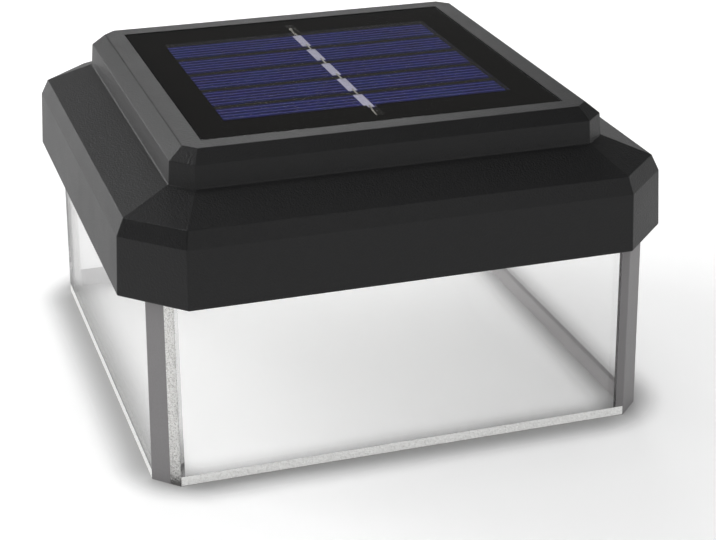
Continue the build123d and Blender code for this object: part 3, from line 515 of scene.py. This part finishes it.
def floorMaterial(look):
    # reads as white to the camera and through the skirt, keeps the shadow of the light, and has a painted
    # shadow near the foot
    material, tree = startMaterial("studioFloor")
    calc = mathIn(tree)
    place = objectPlace(tree)

    def along(operation, first, second=(0, 0, 0)):
        return addNode(tree, "ShaderNodeVectorMath", {0: first, 1: second}, operation=operation).outputs

    ray = addNode(tree, "ShaderNodeLightPath").outputs
    seen = calc("MAXIMUM", ray["Is Camera Ray"], ray["Is Transmission Ray"])
    level = addNode(tree, "ShaderNodeMapRange", {
        "Value": along("LENGTH", place)["Value"], "From Min": look["farFrom"], "From Max": look["farTo"],
        "To Min": look["cameraGlow"], "To Max": look["farGlow"]}).outputs["Result"]
    # distance from the line of the foot, a square with rounded corners, on both sides of it
    flat = (look["footMm"] - look["roundMm"]) * mm
    past = along("SUBTRACT", along("ABSOLUTE", place)["Vector"], (flat, flat, 0))["Vector"]
    outward = along("LENGTH", along("MAXIMUM", past)["Vector"])["Value"]
    gap = calc("ABSOLUTE", calc("SUBTRACT", outward, look["roundMm"] * mm))
    # painted shadow: the floor's colour and glow darken smoothly towards the foot, on both sides of it
    shade = addNode(tree, "ShaderNodeMapRange", {
        "Value": gap, "From Max": look["shadeMm"] * mm}, interpolation_type="SMOOTHSTEP").outputs["Result"]
    tone = addNode(tree, "ShaderNodeMix", {
        0: shade, 6: linear(look["footShadowColour"]), 7: linear(look["colour"])}, data_type="RGBA").outputs[2]
    shader = addNode(tree, "ShaderNodeBsdfPrincipled", {
        "Base Color": tone, "Roughness": look["roughness"], "Emission Color": (1, 1, 1, 1),
        "Emission Strength": calc("MULTIPLY", seen, calc("MULTIPLY", level, shade))})
    return endMaterial(material, shader.outputs["BSDF"])


floorMesh.materials.append(floorMaterial(floorLook))

# Softboxes: degrees from +Y towards +X, degrees above the floor, metres away, metres wide, and the
# share of a plain white level that each one gives to a surface that faces it.
softboxes = {
    "rearBox": {"turn": -48, "rise": 27, "away": 1.4, "wide": 0.8, "level": 0.56},
    "backBox": {"turn": 14, "rise": 33, "away": 1.4, "wide": 0.4, "level": 0.09},
    "frontBox": {"turn": 165, "rise": 35, "away": 1.4, "wide": 0.8, "level": 0.10},
    "topBox": {"turn": 0, "rise": 88, "away": 1.3, "wide": 0.8, "level": 0.10},
}
for name, box in softboxes.items():
    lamp = bpy.data.lights.new(name, "AREA")
    lamp.shape = "SQUARE"
    lamp.size = box["wide"]
    lamp.energy = box["level"] * (pi * box["away"]) ** 2
    aim = Matrix.Rotation(radians(-box["turn"]), 3, "Z") @ Vector(
        (0, cos(radians(box["rise"])), sin(radians(box["rise"]))))
    lampObject = bpy.data.objects.new(name, lamp)
    facing = aim.to_track_quat("Z", "Y").to_matrix().to_4x4()
    lampObject.matrix_world = Matrix.Translation(aim * box["away"]) @ facing
    bpy.context.collection.objects.link(lampObject)

# The backdrop is white near the horizon; gloss sees a dim ceiling above it.
worldLook = {
    "light": 0.42, "seen": 1.0, "horizon": 0.62, "ceiling": 0.07,
    "ceilingStart": 0.12, "ceilingFull": 0.27,
}
world = bpy.data.worlds.new("studio")
bpy.context.scene.world = world
world.use_nodes = True
studio = world.node_tree
studio.nodes.clear()
ray = addNode(studio, "ShaderNodeLightPath").outputs
skyPlace = addNode(studio, "ShaderNodeTexCoord").outputs["Generated"]
skyward = addNode(studio, "ShaderNodeSeparateXYZ", {"Vector": skyPlace})
fade = addNode(studio, "ShaderNodeMapRange", {
    "Value": skyward.outputs["Z"],
    "From Min": worldLook["ceilingStart"], "From Max": worldLook["ceilingFull"],
    "To Min": worldLook["horizon"], "To Max": worldLook["ceiling"]})
glossy = addNode(studio, "ShaderNodeMapRange", {
    "Value": ray["Is Glossy Ray"], "To Min": worldLook["light"], "To Max": fade.outputs["Result"]})
strength = addNode(studio, "ShaderNodeMapRange", {
    "Value": ray["Is Camera Ray"], "To Min": glossy.outputs["Result"], "To Max": worldLook["seen"]})
background = addNode(studio, "ShaderNodeBackground", {
    "Color": (1, 1, 1, 1), "Strength": strength.outputs["Result"]})
addNode(studio, "ShaderNodeOutputWorld", {"Surface": background.outputs["Background"]})
print("floor and lights set")
